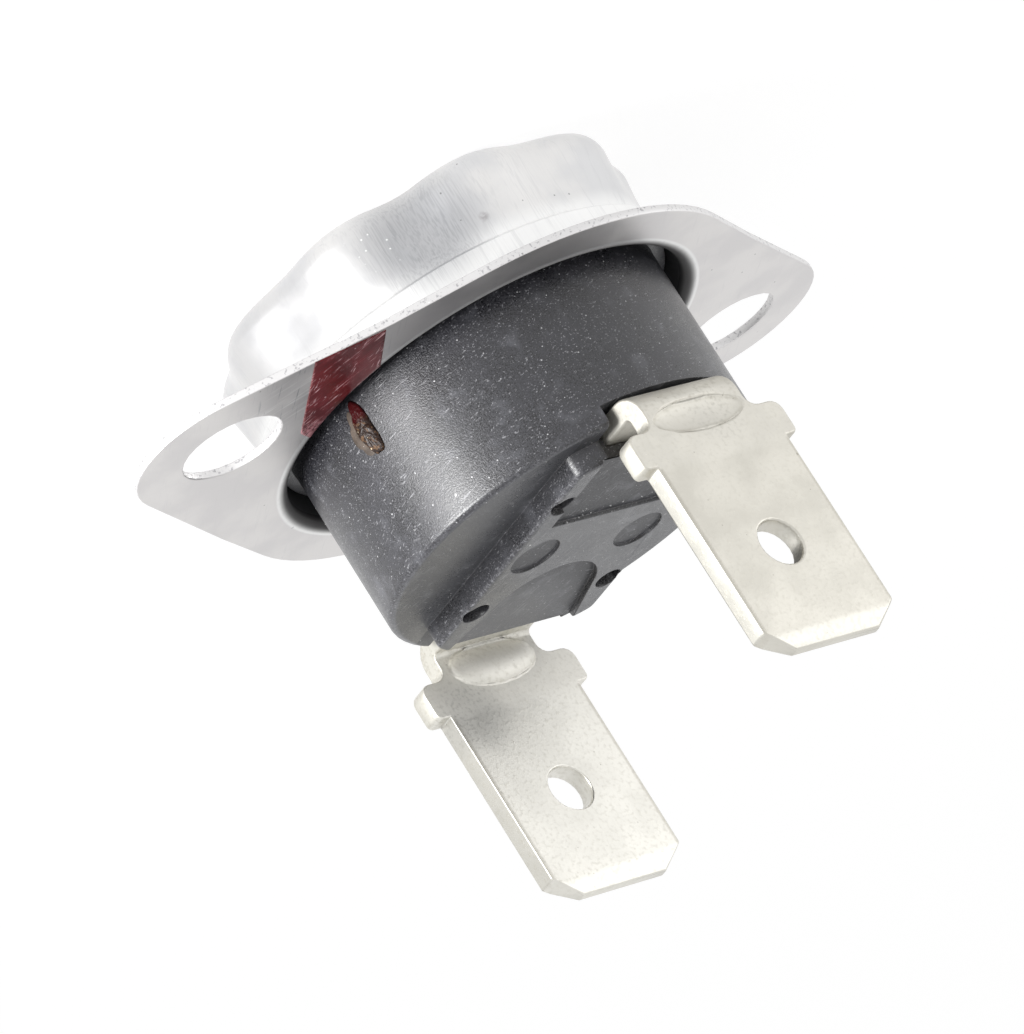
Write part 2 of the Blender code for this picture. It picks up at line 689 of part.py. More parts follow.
def make_fixed_terminal(surface):
    """The terminal on the -Y side, whose leg steps down to hold the fixed contact."""
    leg = [(FIXED_LEG_END, LOW_LEG_MIDDLE), (CRANK_PLACE, LOW_LEG_MIDDLE), (CRANK_PLACE, LEG_MIDDLE)]
    terminal = make_terminal("fixed_terminal", surface, leg, math.pi)
    hole = post(
        "fixed_contact_hole",
        0,
        -CONTACT_PLACE,
        SHANK_RADIUS + BORE_PLAY,
        LOW_LEG_TOP - BLADE_THICKNESS - CUT_MARGIN,
        LOW_LEG_TOP + CUT_MARGIN / 2,
    )
    boolean(terminal, hole)
    return terminal


# Switch parts


def rivet_body(play, extra):
    """The rivet's shank and flared end; play and extra make the tool for its seat in the leg."""
    top = LEG_TOP - SEAT
    flared = RIVET_RADIUS + RIVET_FLARE + play
    narrow = RIVET_RADIUS + play
    bottom = LEG_BOTTOM - extra
    profile = [(0, top + extra), (flared, top + extra)]
    if extra > 0:
        profile.append((flared, top))
    profile += [(narrow, top - RIVET_FLARE), (narrow, bottom), (0, bottom)]
    return profile


def make_arm_rivet(surface):
    """The rivet that holds the contact arm under the leg."""
    shank = rivet_body(0, 0)
    head_top = ARM_BOTTOM - FLEX_GAP
    head_bottom = head_top - RIVET_HEAD_HEIGHT
    profile = shank[:-2] + [(RIVET_RADIUS, head_top), (RIVET_HEAD_RADIUS, head_top)]
    profile += [(RIVET_HEAD_RADIUS, head_bottom), (0, head_bottom)]
    rivet = turned("arm_rivet", profile, SMALL_SEGMENTS)
    rivet.location = (0, RIVET_PLACE, 0)
    return finish(rivet, surface)


def make_contact_arm(surface):
    """The sprung leaf, with its origin on the line that it bends about."""
    tip_y = -(RIVET_PLACE + CONTACT_PLACE)
    root, half, tip = ARM_ROOT, ARM_WIDTH / 2, ARM_TIP_WIDTH / 2
    outline = [(half, root), (-half, root), (-half, -RIVET_PLACE), (-tip, tip_y)]
    outline += arc((0, tip_y), tip, math.pi, 2 * math.pi, SLOT_STEPS)
    outline.append((half, -RIVET_PLACE))
    rivet_hole = arc((0, 0), RIVET_RADIUS + BORE_PLAY, 0, 2 * math.pi, SMALL_SEGMENTS)[:-1]
    shank_hole = arc((0, tip_y), SHANK_RADIUS + BORE_PLAY, 0, 2 * math.pi, SMALL_SEGMENTS)[:-1]
    arm = extruded("contact_arm", [outline, rivet_hole, shank_hole], ARM_THICKNESS)
    arm.location = (0, RIVET_PLACE, ARM_TOP - ARM_THICKNESS / 2)
    return finish(arm, surface)


def contact_profile(sheet_thickness):
    """A contact rivet: face down to z = 0, shank through a sheet and the small head behind it."""
    back = CONTACT_HEIGHT + SEAT
    head = back + sheet_thickness + SEAT
    return [
        (0, head + SHANK_HEAD_HEIGHT),
        (SHANK_HEAD_RADIUS, head + SHANK_HEAD_HEIGHT),
        (SHANK_HEAD_RADIUS, head),
        (SHANK_RADIUS, head),
        (SHANK_RADIUS, CONTACT_HEIGHT),
        (CONTACT_RADIUS, CONTACT_HEIGHT),
        (CONTACT_RADIUS, CONTACT_CHAMFER),
        (CONTACT_RADIUS - CONTACT_CHAMFER, 0),
        (0, 0),
    ]


def make_moving_contact(surface, arm):
    """The silver contact on the arm; it rides on the arm."""
    contact = turned("moving_contact", contact_profile(ARM_THICKNESS), SMALL_SEGMENTS)
    contact.parent = arm
    contact.location = Vector((0, -CONTACT_PLACE, MOVING_FACE)) - arm.location
    return finish(contact, surface)


def make_fixed_contact(surface):
    """The silver contact on the fixed terminal's lower leg, facing up."""
    contact = turned("fixed_contact", contact_profile(BLADE_THICKNESS), SMALL_SEGMENTS)
    contact.rotation_euler.x = math.pi
    contact.location = (0, -CONTACT_PLACE, FIXED_FACE)
    return finish(contact, surface)


def make_transfer_pin(surface):
    """The ceramic pin from the snap disc to the arm; its origin is its lower end."""
    length = PIN_TOP - PIN_BOTTOM
    lean = math.asin(PIN_RADIUS / PIN_DOME)
    profile = arc((0, length - PIN_DOME), PIN_DOME, math.pi / 2, math.pi / 2 - lean, DOME_STEPS)
    profile += [(PIN_RADIUS, PIN_CHAMFER), (PIN_RADIUS - PIN_CHAMFER, 0), (0, 0)]
    pin = turned("transfer_pin", profile, PIN_SEGMENTS)
    pin.location.z = PIN_BOTTOM
    return finish(pin, surface)


def make_bimetal_disc(surface):
    """The snap disc, dished towards the cap's face; its rim stands free until it snaps over."""
    radii = [DISC_RADIUS * row / DISC_ROWS for row in range(DISC_ROWS + 1)]
    dish = [DISC_DISH * (radius / DISC_RADIUS) ** 2 for radius in radii]
    upper = [(radius, DISC_THICKNESS + rise) for radius, rise in zip(radii, dish)]
    lower = list(zip(radii, dish))
    disc = turned("bimetal_disc", upper + lower[::-1], DISC_SEGMENTS)
    disc.location.z = DISC_BOTTOM
    return finish(disc, surface)


def make_guide_plate(surface):
    """The plate that holds the disc in its skirt and guides the pin in its boss."""
    bore = PIN_RADIUS + BORE_PLAY
    rim_bottom = DISC_TOP + DISC_DISH + SEAT
    web_bottom = GUIDE_TOP - GUIDE_WEB
    boss_top = GUIDE_TOP + BOSS_HEIGHT
    profile = [
        (BOSS_RADIUS, boss_top),
        (BOSS_RADIUS, GUIDE_TOP),
        (GUIDE_RADIUS, GUIDE_TOP),
        (GUIDE_RADIUS, rim_bottom),
        (GUIDE_SKIRT_RADIUS, rim_bottom),
        (GUIDE_SKIRT_RADIUS, DISC_BOTTOM),
        (GUIDE_SKIRT_INSIDE, DISC_BOTTOM),
        (GUIDE_SKIRT_INSIDE, rim_bottom),
        (DISC_RADIUS - GUIDE_RIM, rim_bottom),
        (DISC_RADIUS - GUIDE_RIM, web_bottom),
        (bore, web_bottom),
        (bore, boss_top),
    ]
    plate = turned("guide_plate", profile, DISC_SEGMENTS, closed=True)
    return finish(plate, surface)


def make_thermal_fuse():
    aluminium = material("drawn_aluminium", (0.78, 0.78, 0.79), 0.3, 1)
    phenolic = material("moulded_phenolic", (0.045, 0.047, 0.055), 0.45, 0)
    tinned_brass = material("tinned_brass", (0.72, 0.7, 0.64), 0.35, 1)
    spring_bronze = material("spring_bronze", (0.62, 0.36, 0.17), 0.3, 1)
    silver = material("contact_silver", (0.86, 0.85, 0.82), 0.25, 1)
    brass = material("rivet_brass", (0.68, 0.5, 0.22), 0.35, 1)
    bimetal = material("bimetal_strip", (0.42, 0.41, 0.4), 0.4, 1)
    ceramic = material("pin_ceramic", (0.84, 0.82, 0.76), 0.55, 0)
    make_mounting_cap(aluminium)
    make_switch_case(phenolic)
    make_guide_plate(material("guide_phenolic", (0.06, 0.045, 0.035), 0.5, 0))
    make_bimetal_disc(bimetal)
    make_transfer_pin(ceramic)
    make_fixed_terminal(tinned_brass)
    make_arm_terminal(tinned_brass)
    arm = make_contact_arm(spring_bronze)
    make_moving_contact(silver, arm)
    make_fixed_contact(silver)
    make_arm_rivet(brass)


make_thermal_fuse()
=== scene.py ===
"""Thermal fuse: its finishes and worn edges, its paint stripe, its drop of lacquer and the studio."""

import math

import bmesh
import bpy
from mathutils import Matrix, Vector


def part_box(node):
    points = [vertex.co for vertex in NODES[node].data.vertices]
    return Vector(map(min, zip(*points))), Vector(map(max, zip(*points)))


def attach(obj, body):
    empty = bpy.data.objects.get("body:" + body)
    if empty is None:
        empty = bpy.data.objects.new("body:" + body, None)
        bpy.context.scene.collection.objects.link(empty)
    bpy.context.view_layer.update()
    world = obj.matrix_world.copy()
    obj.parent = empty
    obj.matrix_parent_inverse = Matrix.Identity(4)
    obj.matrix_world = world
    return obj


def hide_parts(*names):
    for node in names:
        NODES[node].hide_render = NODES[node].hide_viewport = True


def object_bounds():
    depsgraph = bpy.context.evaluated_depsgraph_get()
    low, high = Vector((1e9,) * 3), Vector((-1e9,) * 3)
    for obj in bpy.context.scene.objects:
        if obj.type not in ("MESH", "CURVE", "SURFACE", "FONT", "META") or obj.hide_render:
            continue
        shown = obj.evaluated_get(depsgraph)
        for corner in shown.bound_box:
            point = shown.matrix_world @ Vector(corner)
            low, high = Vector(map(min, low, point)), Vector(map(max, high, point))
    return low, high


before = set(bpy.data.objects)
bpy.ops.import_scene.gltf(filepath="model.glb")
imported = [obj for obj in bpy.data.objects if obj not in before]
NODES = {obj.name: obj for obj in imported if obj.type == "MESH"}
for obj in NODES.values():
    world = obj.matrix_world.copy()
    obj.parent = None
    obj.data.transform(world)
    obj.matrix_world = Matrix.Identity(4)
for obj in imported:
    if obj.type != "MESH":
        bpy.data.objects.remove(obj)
CAD_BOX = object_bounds()
MM = 0.001

# Camera: where it stands round the fuse, how it is rolled, and what lies at the centre of its picture
CAMERA_AZIMUTH = math.radians(44.28)
CAMERA_ELEVATION = math.radians(19.01)
CAMERA_ROLL = math.radians(147.76)
CAMERA_DISTANCE = 322.39 * MM
CAMERA_AIM = Vector((0.27, 2.18, 9.33)) * MM
CAMERA_LENS = 320.8
SENSOR = 36.0

# Floor and lamps. Each lamp has its name, azimuth in degrees, distance, width and height in mm, and radiance
FLOOR_HALF = 3.0
FLOOR_GAP = 0.01 * MM
LAMP_FOOT = 0.5 * MM
KEY_LAMP = ("key", -3, 40, 16, 14, 26.0)
SIDE_LAMP = ("side", -138, 80, 50, 40, 1.3)
ROOM_LIGHT = 0.65
PAPER = (0.8, 0.8, 0.8, 1)
PAPER_SHADED = (0.3, 0.3, 0.3, 1)
PAPER_GLOW = 0.8
WHITE = (1, 1, 1, 1)

# Levels and radii of the fuse, from its pieces
FLANGE_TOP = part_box("mounting_cap")[1].z
BAR_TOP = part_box("switch_case")[1].z
BLADE_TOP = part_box("fixed_terminal")[1].z
RIM_TOP = BAR_TOP - 0.85 * MM
CASE_RADIUS = 7.37 * MM
MOUTH_RADIUS = 7.98 * MM
MOUTH_ROUND = 0.38 * MM
CUP_EDGE = 8.6 * MM
FOOT_LEVEL = 3.6 * MM
BAR_HALF = 3.75 * MM
BLADE_HALF = 3.1 * MM
BLADE_ROOT = 13.85 * MM
EAR_BEND = 8.56 * MM
EAR_DROOP = math.radians(2.5)

# How far the worked edges are rounded
WELD = 0.0005 * MM
CAP_EDGE = 0.05 * MM
CASE_EDGE = 0.03 * MM
FIXED_TERMINAL_EDGE = 0.09 * MM
ARM_TERMINAL_EDGE = 0.06 * MM
SMOOTHEST_EDGE = math.radians(30)
SMOOTHEST_STRIP_EDGE = math.radians(50)
FLATTEST_EDGE = math.radians(0.2)

# Paint stripe across the flange: its corners seen from above in mm, its film, and how fine its mesh is
STRIPE_CORNERS = [(8.71, -6.15), (11.07, -4.83), (8.92, -0.09), (8.16, 0.39), (7.99, -1.0), (7.3, -3.4)]
PAINT_FILM = 0.018 * MM
PAINT_STEP = 0.12 * MM

# Lacquer on the case's wall: the thick drop, and the thin film beside it
DROP_ANGLE = math.radians(-9.6)
DROP_LEVEL = 6.3 * MM
DROP_HALF_LENGTH = 1.12 * MM
DROP_HALF_WIDTH = 0.4 * MM
DROP_HEIGHT = 0.22 * MM
FILM_ANGLE = math.radians(-7.0)
FILM_LEVEL = 6.35 * MM
FILM_HALF_LENGTH = 0.95 * MM
FILM_HALF_WIDTH = 0.42 * MM
FILM_HEIGHT = 0.02 * MM


def linear(code):
    """An sRGB hex colour as linear values."""
    shares = [int(code[i : i + 2], 16) / 255 for i in (1, 3, 5)]
    values = [s / 12.92 if s <= 0.04045 else ((s + 0.055) / 1.055) ** 2.4 for s in shares]
    return (*values, 1.0)


def feed(tree, socket, value):
    """Gives an input a value, a socket's output, or the first open output of a node."""
    if isinstance(value, bpy.types.Node):
        value = next(output for output in value.outputs if output.enabled)
    if isinstance(value, bpy.types.NodeSocket):
        tree.links.new(value, socket)
    else:
        socket.default_value = value


def add(tree, kind, inputs=None, **settings):
    """Adds a node with its settings and links."""
    node = tree.nodes.new(kind)
    for name, value in settings.items():
        setattr(node, name, value)
    open_inputs = [socket for socket in node.inputs if socket.enabled]
    for key, value in (inputs or {}).items():
        socket = open_inputs[key] if isinstance(key, int) else next(s for s in open_inputs if s.name == key)
        feed(tree, socket, value)
    return node


def new_material(name):
    """An empty material with its Principled shader and Object coordinates."""
    material = bpy.data.materials.new(name)
    material.use_nodes = True
    tree = material.node_tree
    tree.nodes.clear()
    shader = add(tree, "ShaderNodeBsdfPrincipled")
    add(tree, "ShaderNodeOutputMaterial", {"Surface": shader})
    place = add(tree, "ShaderNodeTexCoord").outputs["Object"]
    return material, tree, shader, place


# Patterns, from 0 to 1; their sizes are in millimetres


def cloud(tree, place, size, low=0.35, high=0.65, detail=4.0):
    """Soft cloudy noise, size across its largest forms."""
    noise = add(tree, "ShaderNodeTexNoise", {"Vector": place, "Scale": 1 / (size * MM), "Detail": detail})
    share = {"Value": noise, "From Min": low, "From Max": high}
    return add(tree, "ShaderNodeMapRange", share, interpolation_type="SMOOTHSTEP")


def specks(tree, place, spacing, size, share):
    """Small round specks; share is how many of the cells hold one."""
    cells = add(tree, "ShaderNodeTexVoronoi", {"Vector": place, "Scale": 1 / (spacing * MM)}).outputs
    reach = {"Value": cells["Distance"], "From Min": size / spacing, "From Max": size / spacing / 2}
    spot = add(tree, "ShaderNodeMapRange", reach, interpolation_type="SMOOTHSTEP")
    drawn = add(tree, "ShaderNodeSeparateColor", {0: cells["Color"]})
    chosen = add(tree, "ShaderNodeMath", {0: drawn, 1: share}, operation="LESS_THAN")
    return add(tree, "ShaderNodeMath", {0: spot, 1: chosen}, operation="MULTIPLY")


def streaks(tree, place, turn, spacing, length, low, high):
    """Marks drawn out along one direction, turned by angles in degrees, where stretched noise passes low."""
    sizes = (1 / (spacing * MM), 1 / (length * MM), 1 / (spacing * MM))
    rotation = tuple(math.radians(angle) for angle in turn)
    turned = add(tree, "ShaderNodeMapping", {"Vector": place, "Rotation": rotation})
    stretched = add(tree, "ShaderNodeVectorMath", {0: turned, 1: sizes}, operation="MULTIPLY")
    settings = {"Vector": stretched, "Scale": 1.0, "Detail": 2.0, "Distortion": 0.3}
    noise = add(tree, "ShaderNodeTexNoise", settings)
    share = {"Value": noise, "From Min": low, "From Max": high}
    return add(tree, "ShaderNodeMapRange", share, interpolation_type="SMOOTHSTEP")


def patch(tree, place, centre, radius):
    """A soft round patch, full near its centre and gone past its radius."""
    middle = tuple(part * MM for part in centre)
    moved = add(tree, "ShaderNodeVectorMath", {0: place, 1: middle}, operation="SUBTRACT")
    away = add(tree, "ShaderNodeVectorMath", {0: moved}, operation="LENGTH")
    share = {"Value": away.outputs["Value"], "From Min": radius * MM, "From Max": radius * MM / 3}
    return add(tree, "ShaderNodeMapRange", share, interpolation_type="SMOOTHSTEP")


def beyond(tree, place, weights, low, high):
    """Rises from low to high with the distance from the origin, once each axis is weighed."""
    weighed = add(tree, "ShaderNodeVectorMath", {0: place, 1: weights}, operation="MULTIPLY")
    away = add(tree, "ShaderNodeVectorMath", {0: weighed}, operation="LENGTH")
    share = {"Value": away.outputs["Value"], "From Min": low, "From Max": high}
    return add(tree, "ShaderNodeMapRange", share, interpolation_type="SMOOTHSTEP")


def facing(tree, axis, low, high):
    """Rises from low to high with how squarely a surface faces along an axis."""
    normal = add(tree, "ShaderNodeSeparateXYZ", {0: add(tree, "ShaderNodeTexCoord").outputs["Normal"]})
    squareness = add(tree, "ShaderNodeMath", {0: normal.outputs[axis]}, operation="ABSOLUTE")
    share = {"Value": squareness, "From Min": low, "From Max": high}
    return add(tree, "ShaderNodeMapRange", share, interpolation_type="SMOOTHSTEP")


def inward(tree, place):
    """Surfaces that face the fuse's axis."""
    normal = add(tree, "ShaderNodeTexCoord").outputs["Normal"]
    level = add(tree, "ShaderNodeVectorMath", {0: place, 1: (1, 1, 0)}, operation="MULTIPLY")
    outward = add(tree, "ShaderNodeVectorMath", {0: normal, 1: level}, operation="DOT_PRODUCT")
    return add(tree, "ShaderNodeMath", {0: outward.outputs["Value"], 1: -1 * MM}, operation="LESS_THAN")


def layered(tree, code, *coats):
    """A colour under coats of other colours, each laid on by its masks and shares multiplied together."""
    colour = linear(code)
    for code, share, *more in coats:
        for factor in more:
            share = add(tree, "ShaderNodeMath", {0: share, 1: factor}, operation="MULTIPLY")
        over = {0: share, "A": colour, "B": linear(code)}
        colour = add(tree, "ShaderNodeMix", over, data_type="RGBA")
    return colour


def summed(tree, start, *terms):
    """A number with terms added to it, each a product of patterns and numbers."""
    for share, *more in terms:
        for factor in more[:-1]:
            share = add(tree, "ShaderNodeMath", {0: share, 1: factor}, operation="MULTIPLY")
        start = add(tree, "ShaderNodeMath", {0: share, 1: more[-1], 2: start}, operation="MULTIPLY_ADD")
    return start


def finish(tree, shader, colour, roughness, height, depth):
    """Puts a colour, a roughness and a bump on the shader; the bump's depth is in micrometres."""
    feed(tree, shader.inputs["Base Color"], colour)
    feed(tree, shader.inputs["Roughness"], roughness)
    bump = add(tree, "ShaderNodeBump", {"Height": height, "Strength": 1.0, "Distance": depth * MM / 1000})
    feed(tree, shader.inputs["Normal"], bump)


# Finishes


def drawn_aluminium():
    """Aluminium sheet, deep drawn: bright satin cup with draw lines, plain satin flange, sheared edges,
    painted light and shade.
    """
    material, tree, shader, place = new_material("aluminium sheet, deep drawn")
    level, upright = (1, 1, 0), (0, 0, 1)
    cup = beyond(tree, place, level, CUP_EDGE, CUP_EDGE - 0.15 * MM)
    flange = beyond(tree, place, level, CUP_EDGE - 0.15 * MM, CUP_EDGE)
    outer = beyond(tree, place, level, CUP_EDGE, CUP_EDGE + 0.2 * MM)
    # Inside the cup, below the flange, the wall is painted near black, rougher and hardly metallic: painted
    # shade
    inner = inward(tree, place)
    deep = beyond(tree, place, upright, FLANGE_TOP - 0.1 * MM, FLANGE_TOP - 0.45 * MM)
    # The rounded mouth of the flange, round the case, is painted near black, rougher and hardly metallic:
    # painted shade
    roll = beyond(tree, place, level, MOUTH_RADIUS + MOUTH_ROUND + 0.2 * MM, MOUTH_RADIUS + 0.2 * MM)
    above = beyond(tree, place, upright, FLANGE_TOP - MOUTH_ROUND - 0.06 * MM, FLANGE_TOP - MOUTH_ROUND)
    edge = facing(tree, "Z", 0.75, 0.45)
    sheet = cloud(tree, place, 2.2)
    satin = cloud(tree, place, 0.14, 0.3, 0.7)

    # Draw lines up the cup's wall, coarser than real ones so that they show, strongest on the rubbed flat
    # beside the deep dent, which is also painted darker grey as a painted reflection, with bright nicks
    along = add(tree, "ShaderNodeVectorMath", {0: place, 1: (1, 1, 0.04)}, operation="MULTIPLY")
    lines = cloud(tree, along, 0.055, 0.42, 0.66, 2.0)
    broad_lines = cloud(tree, along, 0.3, 0.4, 0.7, 2.0)
    facet_with_painted_reflection = patch(tree, place, (4.9, -6.3, 1.9), 2.9)
    # The cup is painted darker on the side that faces the key lamp: painted shade
    painted_shade_near_key = patch(tree, place, (8.6, -0.6, 2.2), 4.6)
    nicks = specks(tree, place, 0.24, 0.05, 0.5)
    nicked = patch(tree, place, (6.1, -5.3, 1.5), 1.3)
    # The upper part of the cup, from a little under FOOT_LEVEL up to the flange, is painted near white: a
    # painted highlight
    painted_cup_highlight = beyond(tree, place, upright, FOOT_LEVEL - 1.0 * MM, FOOT_LEVEL - 0.2 * MM)

    # Wiping marks on the flange, clear only beside the stripe, dirt, and small pressed-in specks
    wiped = streaks(tree, place, (0, 0, 38), 0.16, 2.6, 0.5, 0.72)
    crossed = streaks(tree, place, (0, 0, -24), 0.1, 1.6, 0.6, 0.74)
    beside = patch(tree, place, (10.2, -3.4, 5.3), 3.4)
    dirt = specks(tree, place, 0.7, 0.045, 0.25)
    pits = specks(tree, place, 1.6, 0.08, 0.25)
    torn = cloud(tree, place, 0.13, 0.55, 0.68, 5.0)
    stain = specks(tree, place, 0.8, 0.08, 0.3)

    colour = layered(
        tree,
        "#cfcdcd",
        ("#dad8d7", sheet),
        ("#d7d7d8", cup),
        ("#e3e2e1", cup, sheet),
        ("#bfbfc1", cup, painted_shade_near_key, 0.4),
        ("#fbfbfa", cup, painted_cup_highlight, 0.7),
        ("#adaeb1", facet_with_painted_reflection, 0.8),
        ("#87888c", facet_with_painted_reflection, lines, 0.35),
        ("#c3c3c5", cup, broad_lines, lines, 0.3),
        ("#ffffff", nicks, nicked, 0.9),
        ("#efefee", flange, wiped, beside, 0.8),
        ("#858a91", flange, crossed, beside, 0.8),
        ("#c6c5c6", flange, crossed, 0.25),
        ("#dcdbdb", edge, outer),
        ("#a6a5a8", edge, outer, torn, 0.8),
        ("#6c6b6d", dirt, 0.7),
        ("#8f8f92", pits, 0.45),
        ("#c0606c", stain, patch(tree, place, (9.4, -4.0, 5.3), 4.2), 0.6),
        ("#6d6668", patch(tree, place, (4.3, -6.9, 1.4), 0.3), cloud(tree, place, 0.12, 0.3, 0.6), 0.7),
        ("#8d8688", patch(tree, place, (3.1, -7.5, 2.6), 0.3), cloud(tree, place, 0.12, 0.3, 0.6), 0.6),
        # The flange's rounded mouth is painted near black: painted shade
        ("#2e2c2d", roll, above, 0.95),
        # The cup's inside is painted near black: painted shade
        ("#2c2c30", cup, inner, deep, 0.97),
    )
    worn = ((sheet, 0.06), (edge, outer, 0.15), (flange, 0.08), (facet_with_painted_reflection, 0.1))
    rough = summed(tree, 0.3, *worn, (roll, above, 0.3), (cup, inner, deep, 0.4))
    # Metallic is taken away where shade is painted near black at the flange's mouth and inside the cup
    metal_outside_painted_shade = summed(tree, 1.0, (roll, above, -0.95), (cup, inner, deep, -0.95))
    feed(tree, shader.inputs["Metallic"], metal_outside_painted_shade)
    height = summed(tree, 0, (satin, 0.4), (lines, cup, 0.4), (pits, -2.0), (torn, edge, outer, 1.5))
    finish(tree, shader, colour, rough, height, 1.4)
    return material


def moulded_phenolic():
    """Black phenolic with mineral filler, moulded: charcoal, grainy sheen, pale flecks, scuffed edges,
    painted light on edges and ends.
    """
    material, tree, shader, place = new_material("phenolic with mineral filler, moulded")
    # The filler's finest grains don't show in a render, so the coarse ones stand for all of them
    grain = cloud(tree, place, 0.055, 0.35, 0.7, 3.0)
    tone = cloud(tree, place, 1.4, 0.35, 0.68, 5.0)
    smudge = cloud(tree, place, 0.9, 0.54, 0.76, 6.0)
    end = facing(tree, "Z", 0.7, 0.95)
    low_end = patch(tree, place, (1.0, 5.6, 12.1), 4.6)
    flecks = specks(tree, place, 0.32, 0.036, 0.4)
    crumbs = specks(tree, place, 1.1, 0.06, 0.3)
    scuffs = streaks(tree, place, (23, 52, 34), 0.07, 1.1, 0.63, 0.72)
    scratches = streaks(tree, place, (69, -17, 109), 0.06, 0.9, 0.64, 0.73)

    # Shaded floors of the recesses in the bar
    within = beyond(tree, place, (1, 0, 0), BAR_HALF - 0.1 * MM, BAR_HALF - 0.2 * MM)
    sunken = beyond(tree, place, (0, 0, 1), BAR_TOP - 0.03 * MM, BAR_TOP - 0.12 * MM)

    # Wear at the wall's rim and along the bar, whose lighter colour is also a painted highlight on these
    # edges
    wear_and_edge_highlight = cloud(tree, place, 0.08, 0.45, 0.7, 6.0)
    outside = beyond(tree, place, (1, 1, 0), CASE_RADIUS - 0.26 * MM, CASE_RADIUS - 0.1 * MM)
    rim = beyond(tree, place, (0, 0, 1), RIM_TOP - 0.3 * MM, RIM_TOP)
    side = beyond(tree, place, (1, 0, 0), BAR_HALF - 0.2 * MM, BAR_HALF - 0.05 * MM)
    ridge = beyond(tree, place, (0, 0, 1), BAR_TOP - 0.25 * MM, BAR_TOP - 0.05 * MM)

    colour = layered(
        tree,
        "#121216",
        ("#212126", tone),
        ("#48484f", grain, 0.4),
        # Faces turned along the axis, the case's end above all, are painted lighter: a painted sheen
        ("#4d4e53", end, 0.7),
        ("#2c2d31", end, within, sunken, 0.8),
        ("#77787c", end, smudge, 0.5),
        ("#64656b", smudge, 0.4),
        ("#8d8e92", end, low_end, 0.55),
        ("#a2a2a6", scuffs, 0.5),
        ("#a2a2a6", scratches, 0.6),
        ("#8a8a90", wear_and_edge_highlight, outside, rim, 0.35),
        ("#97979c", wear_and_edge_highlight, side, ridge, 0.6),
        ("#cfcfd1", flecks, 0.75),
        ("#ececeb", crumbs, 0.9),
    )
    rough = summed(tree, 0.25, (grain, 0.2), (tone, 0.06), (flecks, -0.1), (end, within, sunken, 0.3))
    marks = ((flecks, 0.5), (crumbs, 0.8), (scuffs, -0.4), (wear_and_edge_highlight, outside, rim, 0.5))
    height = summed(tree, 0, (grain, 1.0), *marks)
    shader.inputs["IOR"].default_value = 1.6
    shader.inputs["Coat Weight"].default_value = 0.3
    shader.inputs["Coat Roughness"].default_value = 0.3
    finish(tree, shader, colour, rough, height, 4.2)
    return material


def plated_brass(name, dark, light, smear_centre, smear_size, smear_share):
    """Brass strip, stamped and tin plated: warm white satin, softly mottled, with fine dark specks and
    painted light and shade.
    """
    material, tree, shader, place = new_material(name)
    shader.inputs["Metallic"].default_value = 1.0
    upright = (0, 0, 1)
    soft = cloud(tree, place, 1.6, 0.35, 0.65, 5.0)
    mottle = cloud(tree, place, 0.16, 0.45, 0.75)
    # Low down, where the strip leaves the case, it is painted darker and patchy with the mottle: painted
    # shade
    painted_shade_bend = beyond(tree, place, upright, RIM_TOP + 1.1 * MM, RIM_TOP + 0.2 * MM)
    slit = facing(tree, "X", 0.6, 0.9)
    broad = facing(tree, "Y", 0.9, 0.98)
    # A band just inside the blade's side edges is painted darker: painted shade
    painted_shade_margin = beyond(tree, place, (1, 0, 0), BLADE_HALF - 0.22 * MM, BLADE_HALF - 0.09 * MM)
    blade = beyond(tree, place, upright, BLADE_ROOT, BLADE_ROOT + 0.1 * MM)
    # The blade's top 0.6 mm is painted lighter, a painted highlight; a thin band just under it is painted
    # darker, painted shade
    painted_blade_top = beyond(tree, place, upright, BLADE_TOP - 0.75 * MM, BLADE_TOP - 0.6 * MM)
    line = beyond(tree, place, upright, BLADE_TOP - 0.6 * MM, BLADE_TOP - 0.68 * MM)
    smear = patch(tree, place, smear_centre, smear_size)
    neck = beyond(tree, place, upright, RIM_TOP + 3.0 * MM, RIM_TOP + 2.3 * MM)
    dirt = specks(tree, place, 0.38, 0.032, 0.3)
    spots = specks(tree, place, 1.5, 0.07, 0.3)
    hairs = streaks(tree, place, (0, 20, 0), 0.05, 1.6, 0.68, 0.76)
    colour = layered(
        tree,
        dark,
        (light, soft),
        ("#c3c0b6", mottle, 0.4),
        ("#cdcbc3", slit, 0.8),
        ("#b3afa4", slit, mottle, 0.4),
        ("#a8a499", broad, painted_shade_margin, blade, 0.5),
        ("#d9d7cf", painted_blade_top, 0.5),
        ("#bdb9ae", painted_blade_top, line, mottle, 0.7),
        ("#efede8", neck, broad, 0.2),
        ("#a1a19d", smear, mottle, smear_share),
        ("#a9a9a6", smear, smear_share, 0.6),
        ("#b7b3a9", painted_shade_bend, mottle, 0.35),
        ("#8b867b", dirt, 0.55),
        ("#8b867b", spots, 0.5),
        ("#f6f5f0", hairs, 0.3),
    )
    rough = summed(tree, 0.34, (soft, 0.05), (mottle, 0.08), (neck, 0.2))
    height = summed(tree, 0, (mottle, 0.8), (dirt, -1.0), (hairs, -0.5))
    finish(tree, shader, colour, rough, height, 2.2)
    return material


